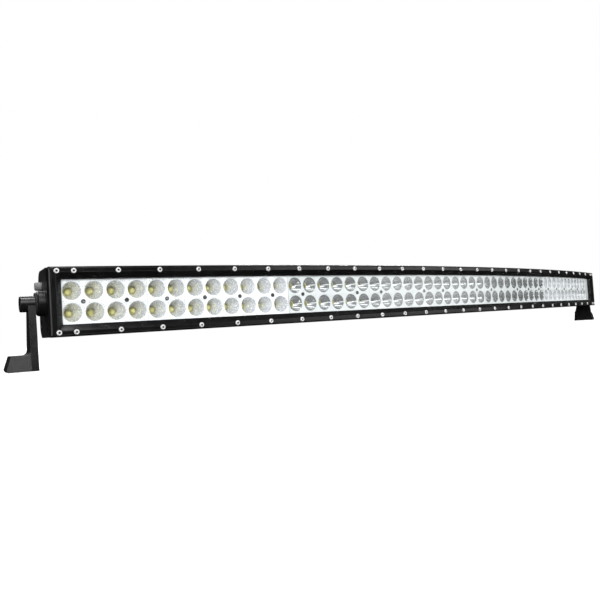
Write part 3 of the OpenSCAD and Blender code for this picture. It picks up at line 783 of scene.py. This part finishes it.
def add_mark(shape, place, x, z):
    """A faint raised ejector ring on the front of a moulding."""
    outer = 2.6
    ring_w = 0.55
    height = 0.22
    section = [(outer, 0.1), (outer, -height * 0.6), (outer - ring_w * 0.3, -height),
               (outer - ring_w * 0.7, -height), (outer - ring_w, -height * 0.6), (outer - ring_w, 0.1)]
    points = []
    segments = 20
    for r, y in section:
        for i in range(segments):
            a = 2 * math.pi * i / segments
            points.append((x + r * math.cos(a), PLATE_D + y, z + r * math.sin(a)))
    faces = bridge(len(section), segments)
    last = (len(section) - 1) * segments
    faces += [(last + i, last + (i + 1) % segments, (i + 1) % segments, i) for i in range(segments)]
    shape.add(points, faces, place=place)


def build_reflectors(name, section, throat, flood, node):
    """The mouldings of one section, as one piece."""
    mark_z = 25.0
    end_gap = 0.3
    plate_t = 1.5
    shape = Shape()
    marks = Shape()
    for place, columns in module_places(*section):
        length = columns * LED_PITCH * (1 - (PLATE_D + plate_t) / BOW_R) - end_gap
        for cx in column_x(columns):
            x0 = max(cx - LED_PITCH / 2, -length / 2)
            x1 = min(cx + LED_PITCH / 2, length / 2)
            for row in (-1, 1):
                z0, z1 = (0, PLATE_HALF_H) if row > 0 else (-PLATE_HALF_H, 0)
                add_cup(shape, place, (x0, x1, z0, z1), cx, row * LED_PITCH / 2, throat, flood)
        for i in range(1, columns):
            x = (i - columns / 2) * LED_PITCH
            for z in (-mark_z, 0, mark_z):
                if z or x not in fixing_x(columns):
                    add_mark(marks, place, x, z)
    obj = new_object(name, shape)
    wall = obj.modifiers.new("wall", "SOLIDIFY")
    wall.thickness = 1.0 * MM
    wall.offset = -1
    apply_modifiers(obj)
    obj.data.set_sharp_from_angle(angle=math.radians(60))
    join_mesh(obj, marks)
    obj.data.materials.append(MATERIALS["bright_reflector"] if flood else SPOT_PLATE)
    obj.data.materials.append(SATIN_CUP if flood else MIRROR_CUP)
    finish_piece(obj, (node,))


def join_mesh(obj, shape):
    """Adds a shape's faces to an object's mesh."""
    work = bmesh.new()
    work.from_mesh(obj.data)
    extra = new_object("extra", shape)
    work.from_mesh(extra.data)
    work.to_mesh(obj.data)
    work.free()
    bpy.data.objects.remove(extra)


def build_reflector_screws():
    """Pan heads with a cross recess, on the middle line of the mouldings."""
    shape = Shape()
    arm = 1.75
    slot_w = 0.42
    profile = [(0, 0.35), (2.45, 0.35), (2.6, 0), (2.5, -0.45), (2.1, -0.72), (1.4, -0.82), (0, -0.85)]
    head = lathe(profile, 24)
    shank = lathe([(0, 0.1), (1.45, 0.1), (1.45, 24), (0, 24)], 16)
    cutter = Shape()
    places = [place @ Matrix.Translation((x, PLATE_D - 0.1, 0))
              for place, columns in every_module() for x in fixing_x(columns)]
    cross = [(-arm, -slot_w), (-slot_w, -slot_w), (-slot_w, -arm), (slot_w, -arm), (slot_w, -slot_w),
             (arm, -slot_w), (arm, slot_w), (slot_w, slot_w), (slot_w, arm), (-slot_w, arm),
             (-slot_w, slot_w), (-arm, slot_w)]
    count = len(cross)
    cross_points = [(x, y, z) for y in (-2, 0.1) for x, z in cross]
    cross_faces = [tuple(range(count)), tuple(range(count, 2 * count))] + bridge(2, count)
    for number, place in enumerate(places):
        turn = place @ Matrix.Rotation(math.radians(25 + 37 * number), 4, "Y")
        shape.add(*head, place=turn)
        cutter.add(cross_points, cross_faces, place=turn)
    obj = new_object("reflector_screw_set", shape)
    cut(obj, cutter)
    shanks = Shape()
    for place in places:
        shanks.add(*shank, place=place @ Matrix.Translation((0, 0.3, 0)))
    join_mesh(obj, shanks)
    obj.data.set_sharp_from_angle(angle=math.radians(35))
    obj.data.materials.clear()
    obj.data.materials.append(MATERIALS["black_screws"])
    finish_piece(obj, ("reflector_screws",))


def led_places():
    for place, columns in every_module():
        for x in column_x(columns):
            for row in (-1, 1):
                yield place @ Matrix.Translation((x, BOARD_D - 0.05, row * LED_PITCH / 2))


def build_leds():
    bodies = Shape()
    domes = Shape()
    body_r = 4.2
    dome_r = 3.2
    foot = -1.02
    body = lathe([(0, 0), (body_r - 0.1, 0), (body_r, -0.1), (body_r, -0.8), (body_r - 0.2, -1.0),
                  (body_r - 0.9, -1.0), (0, -1.0)], 28)
    dome_profile = [(0, foot), (dome_r, foot)]
    dome_profile += [(dome_r * math.cos(math.radians(a)), foot - dome_r * math.sin(math.radians(a)))
                     for a in (15, 30, 45, 60, 75)] + [(0, foot - dome_r)]
    dome = lathe(dome_profile, 28)
    for place in led_places():
        bodies.add(*body, place=place)
        domes.add(*dome, place=place)
    piece("led_body_set", bodies, [MATERIALS["led_ceramic"]], ("led_bodies",))
    piece("led_dome_set", domes, [MATERIALS["led_phosphor"]], ("led_domes",), sharp_deg=60)


# ---------- CAD nodes that keep their shape ----------

def refine(node, edge_mm):
    """Softens a CAD node's edges and evens its normals."""
    obj = frame["nodes"][node]
    weld = obj.modifiers.new("weld", "WELD")
    weld.merge_threshold = 2e-6
    flat = obj.modifiers.new("flats", "DECIMATE")
    flat.decimate_type = "DISSOLVE"
    flat.angle_limit = math.radians(0.4)
    edge = obj.modifiers.new("edges", "BEVEL")
    edge.width = edge_mm * MM
    edge.segments = 3
    edge.limit_method = "ANGLE"
    edge.angle_limit = math.radians(32)
    edge.use_clamp_overlap = True
    edge.miter_outer = "MITER_ARC"
    for polygon in obj.data.polygons:
        polygon.use_smooth = True
    even_normals(obj)


def dress_cad_nodes():
    """Gives every CAD node still shown the material of its slot."""
    for name, obj in frame["nodes"].items():
        obj.data.materials.clear()
        obj.data.materials.append(MATERIALS[SLOTS[name]])
    softened = {"end_cap_left": 0.8, "end_cap_right": 0.8, "bracket_left": 0.7, "bracket_right": 0.7,
                "breather_valve": 0.3, "blanking_strip": 0.3, "cable_gland": 0.4, "power_plug": 0.4,
                "pivot_bolt_left": 0.3, "pivot_bolt_right": 0.3, "rubber_washers": 0.25,
                "flat_washers": 0.15, "gland_seal": 0.15}
    for node, edge_mm in softened.items():
        refine(node, edge_mm)


# ---------- stage ----------

def build_floor():
    """A plain pale floor, shaped as a wide disc."""
    radius = 30.0
    segments = 64
    angles = [2 * math.pi * i / segments for i in range(segments)]
    shape = Shape()
    shape.add([(radius * math.cos(a), radius * math.sin(a), 0) for a in angles], [tuple(range(segments))])
    floor = new_object("floor", shape)
    n = Nodes("pale_floor")
    speckle = n.span(n.noise(3, 2), 0.3, 0.7, 0.30, 0.32)
    diffuse = n.node("ShaderNodeBsdfDiffuse", {"Color": speckle})
    reach = n.node("ShaderNodeVectorMath", {0: n.coords}, operation="LENGTH").outputs["Value"]
    glow = n.node("ShaderNodeEmission", {"Color": grey(1), "Strength": n.span(reach, 0.8, 2.2, 0.76, 1.0)})
    lit = n.node("ShaderNodeAddShader", {0: diffuse.outputs[0], 1: glow.outputs[0]})
    dim = n.node("ShaderNodeBsdfDiffuse", {"Color": grey(0.012)})
    path = n.node("ShaderNodeLightPath")
    seen = path.outputs["Is Camera Ray"]
    mixed = n.node("ShaderNodeMixShader", {0: seen, 1: dim.outputs[0], 2: lit.outputs[0]})
    n.tree.links.new(mixed.outputs[0], n.output.inputs["Surface"])
    n.tree.nodes.remove(n.shader)
    floor.data.materials.append(n.material)


# Soft patches of the studio: direction, how much each is flattened, where it begins and is full, strength
STUDIO_PATCHES = (
    ((0.66, -0.75, 0.08), 3.0, 0.885, 0.965, 1.4),
    ((-0.87, -0.50, 0.03), 1.0, 0.93, 0.985, 3.0),
    ((-0.20, -0.83, 0.55), 1.0, 0.93, 0.985, 4.0),
    ((0.0, 0.0, 1.0), 1.0, 0.3, 1.0, 0.10),
    ((0.80, 0.60, 0.10), 1.0, 0.86, 0.97, 1.6),
)
STUDIO_BASE = 0.02


def build_world():
    """White to the camera; for everything it lights, a dim studio with soft bright patches."""
    world = bpy.data.worlds.new("studio")
    bpy.context.scene.world = world
    world.use_nodes = True
    tree = world.node_tree
    tree.nodes.clear()
    geometry = tree.nodes.new("ShaderNodeNewGeometry")
    total = None
    for direction, flatten, low, high, strength in STUDIO_PATCHES:
        stretch = tree.nodes.new("ShaderNodeVectorMath")
        stretch.operation = "MULTIPLY"
        tree.links.new(geometry.outputs["Incoming"], stretch.inputs[0])
        stretch.inputs[1].default_value = (1, 1, flatten)
        unit = tree.nodes.new("ShaderNodeVectorMath")
        unit.operation = "NORMALIZE"
        tree.links.new(stretch.outputs["Vector"], unit.inputs[0])
        dot = tree.nodes.new("ShaderNodeVectorMath")
        dot.operation = "DOT_PRODUCT"
        tree.links.new(unit.outputs["Vector"], dot.inputs[0])
        x, y, z = direction
        dot.inputs[1].default_value = -Vector((x, y, z * flatten)).normalized()
        span = tree.nodes.new("ShaderNodeMapRange")
        span.interpolation_type = "SMOOTHSTEP"
        tree.links.new(dot.outputs["Value"], span.inputs["Value"])
        for key, value in (("From Min", low), ("From Max", high), ("To Min", 0.0), ("To Max", strength)):
            span.inputs[key].default_value = value
        add = tree.nodes.new("ShaderNodeMath")
        add.operation = "ADD"
        tree.links.new(span.outputs["Result"], add.inputs[0])
        if total is None:
            add.inputs[1].default_value = STUDIO_BASE
        else:
            tree.links.new(total, add.inputs[1])
        total = add.outputs[0]
    light = tree.nodes.new("ShaderNodeBackground")
    light.inputs["Color"].default_value = grey(1)
    tree.links.new(total, light.inputs["Strength"])
    white = tree.nodes.new("ShaderNodeBackground")
    white.inputs["Color"].default_value = grey(1)
    path = tree.nodes.new("ShaderNodeLightPath")
    mixed = tree.nodes.new("ShaderNodeMixShader")
    tree.links.new(path.outputs["Is Camera Ray"], mixed.inputs[0])
    tree.links.new(light.outputs[0], mixed.inputs[1])
    tree.links.new(white.outputs[0], mixed.inputs[2])
    output = tree.nodes.new("ShaderNodeOutputWorld")
    tree.links.new(mixed.outputs[0], output.inputs["Surface"])


def area_light(name, position, target, size, power, mirrored=True):
    """A soft box. Shiny parts only mirror it if asked."""
    data = bpy.data.lights.new(name, "AREA")
    data.shape = "RECTANGLE"
    data.size, data.size_y = size
    data.energy = power
    obj = bpy.data.objects.new(name, data)
    bpy.context.scene.collection.objects.link(obj)
    obj.location = position
    obj.rotation_euler = (Vector(target) - Vector(position)).to_track_quat("-Z", "Y").to_euler()
    obj.visible_camera = False
    obj.visible_glossy = mirrored


def build_lights():
    middle = (0, 0, MID_Z)
    area_light("key", (-1.9, -1.9, 0.55), (-0.3, 0, MID_Z), (1.2, 0.9), 60, mirrored=False)
    area_light("front_fill", (0.9, -2.3, 0.5), middle, (2.2, 1.0), 60, mirrored=False)
    area_light("over_left_end", (-0.67, -0.12, 0.85), (-0.70, -0.05, MID_Z), (0.16, 0.34), 2.4)
    area_light("overhead", (0, 0.2, 1.8), middle, (2.6, 1.0), 40, mirrored=False)
    area_light("right_fill", (1.9, -1.7, 0.5), (0.45, 0, MID_Z), (1.2, 0.8), 32, mirrored=False)
    area_light("back", (-0.6, 2.2, 1.7), middle, (2.2, 0.9), 45)
    area_light("back_right", (1.7, 1.9, 0.5), (0.1, 0, MID_Z), (1.0, 0.8), 70)


def build_camera():
    """Camera to the left of the bar, looking along its face."""
    heading = math.radians(42.32)
    pitch = math.radians(2.009)
    roll = math.radians(-3.499)
    data = bpy.data.cameras.new("camera")
    data.sensor_width = 36.0
    data.lens = 40.28
    data.clip_start = 0.01
    data.clip_end = 200
    camera = bpy.data.objects.new("camera", data)
    bpy.context.scene.collection.objects.link(camera)
    turn = (Matrix.Rotation(-heading, 4, "Z") @ Matrix.Rotation(math.radians(90) + pitch, 4, "X")
            @ Matrix.Rotation(roll, 4, "Z"))
    camera.matrix_world = Matrix.Translation((-0.97932, -0.78118, 0.03496)) @ turn
    bpy.context.scene.camera = camera


# ---------- assembly ----------

dress_cad_nodes()
build_bezel()
build_bezel_screws()
build_cap_screws()
build_lens()
build_housing()
build_reflectors("flood_mouldings_left", LEFT_FLOODS, FLOOD_THROAT_R, True, "flood_reflectors_left")
build_reflectors("flood_mouldings_right", RIGHT_FLOODS, FLOOD_THROAT_R, True, "flood_reflectors_right")
build_reflectors("spot_mouldings", SPOTS, SPOT_THROAT_R, False, "spot_reflectors")
build_reflector_screws()
build_leds()
build_floor()
build_world()
build_lights()
build_camera()
bpy.context.scene.view_settings.view_transform = "Standard"
